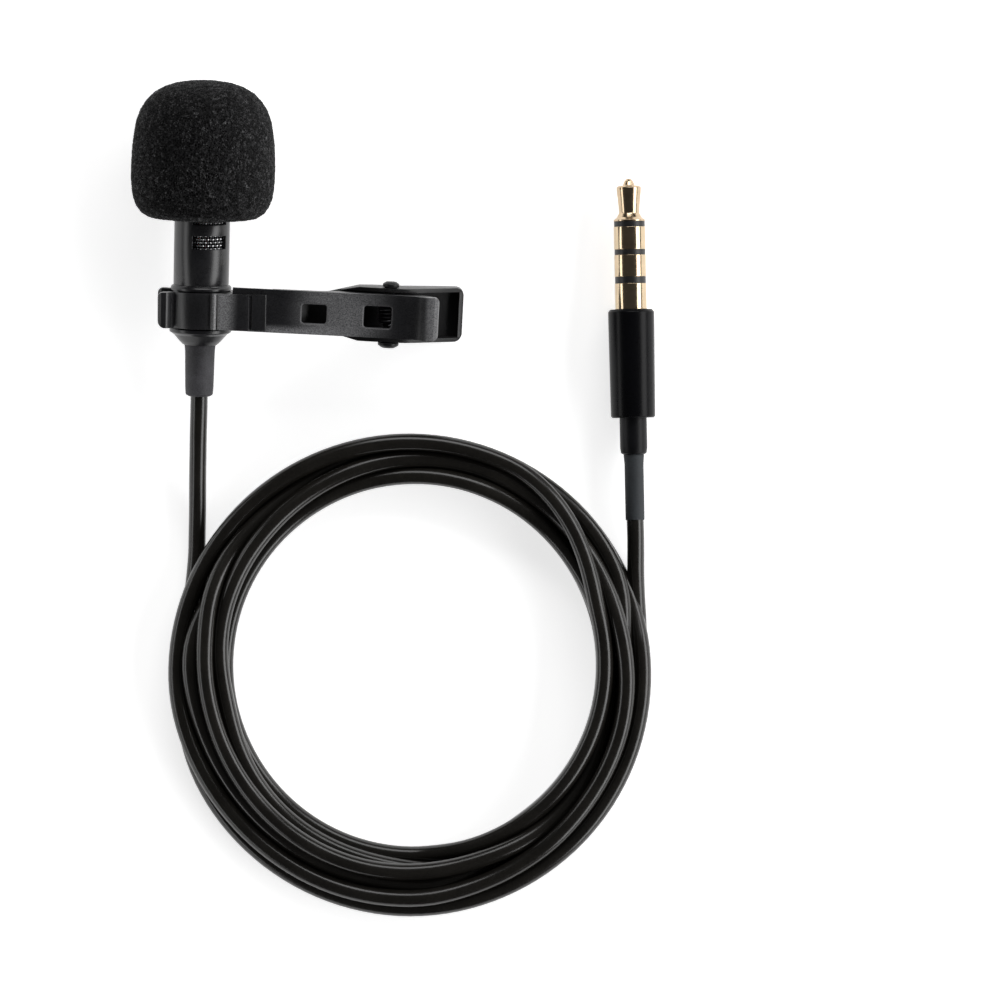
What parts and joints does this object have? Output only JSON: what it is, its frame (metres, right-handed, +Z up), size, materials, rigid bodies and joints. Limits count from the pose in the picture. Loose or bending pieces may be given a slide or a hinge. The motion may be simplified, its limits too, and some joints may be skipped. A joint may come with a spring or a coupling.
{
  "type": "lavalier microphone",
  "caption": "Clip-on lavalier microphone with foam windscreen, sprung tie clip, coiled lead and four-pole jack plug.",
  "frame": {"origin": "on the table, under the middle of the microphone and its clip (their box, without the lead, its coil and its plug)", "axes": "+Z up from the table the object lies on; +Y roughly along the microphone's axis towards its foam end; +X along the clip's arms away from the barrel"},
  "size_m": [0.0575, 0.092, 0.0161],
  "materials": {
    "foam": "open-cell foam, matt",
    "black_metal": "satin black, anodised look",
    "steel_mesh": "woven wire",
    "capsule_can": "drawn can",
    "boot_rubber": "matt",
    "board": "coated board",
    "wire_jacket": "plain",
    "crimp_brass": "plain",
    "relief_rubber": "matt, moulded",
    "collar_black": "satin black",
    "clip_black": "black, fine grain",
    "spring_steel": "drawn wire",
    "lead_jacket": "glossy black",
    "gold_plate": "polished gold plate",
    "insulator_black": "matt",
    "terminal_brass": "plain",
    "handle_gloss": "glossy black",
    "tail_black": "satin black",
    "shrink_grey": "matt slate grey"
  },
  "bodies": {
    "microphone": {"mic_body": "black_metal", "mesh_sleeve": "steel_mesh", "top_grille": "steel_mesh", "capsule": "capsule_can", "capsule_boot": "boot_rubber", "capsule_board": "board", "signal_wires": "wire_jacket", "stop_ring": "black_metal", "tail_cap": "black_metal", "cable_crimp": "crimp_brass", "strain_relief": "relief_rubber", "cord_lead_in": "lead_jacket", "cable_coil": "lead_jacket", "cord_lead_out": "lead_jacket", "plug_tip": "gold_plate", "tip_insulator": "insulator_black", "plug_ring_right": "gold_plate", "ring_insulator": "insulator_black", "plug_ring_ground": "gold_plate", "sleeve_insulator": "insulator_black", "plug_sleeve": "gold_plate", "plug_core": "terminal_brass", "plug_terminals": "terminal_brass", "plug_barrel": "handle_gloss", "plug_tail": "tail_black", "shrink_sleeve": "shrink_grey"},
    "windscreen": {"foam_windscreen": "foam"},
    "clip": {"clip_collar": "collar_black", "front_jaw": "clip_black", "hinge_pin": "clip_black", "torsion_spring": "spring_steel"},
    "rear_arm": {"rear_jaw": "clip_black"}
  },
  "joints": [
    {"name": "windscreen_slide", "type": "slide", "parent": "microphone", "child": "windscreen", "axis": [0.0208, 0.9923, 0.1219], "range_m": [0, 0.014]},
    {"name": "clip_swivel", "type": "hinge", "parent": "microphone", "child": "clip", "pos_m": [-0.01067, -0.00762, 0.00608], "axis": [-0.0208, -0.9923, -0.1219], "continuous": true},
    {"name": "jaw_open", "type": "hinge", "parent": "clip", "child": "rear_arm", "pos_m": [0.01008, -0.00835, 0.00641], "axis": [-0.0522, -0.9913, -0.121], "range_deg": [0, 22], "stiffness_Nm_per_rad": 0.01, "springref_deg": -28.65, "deforming": ["torsion_spring"]}
  ]
}
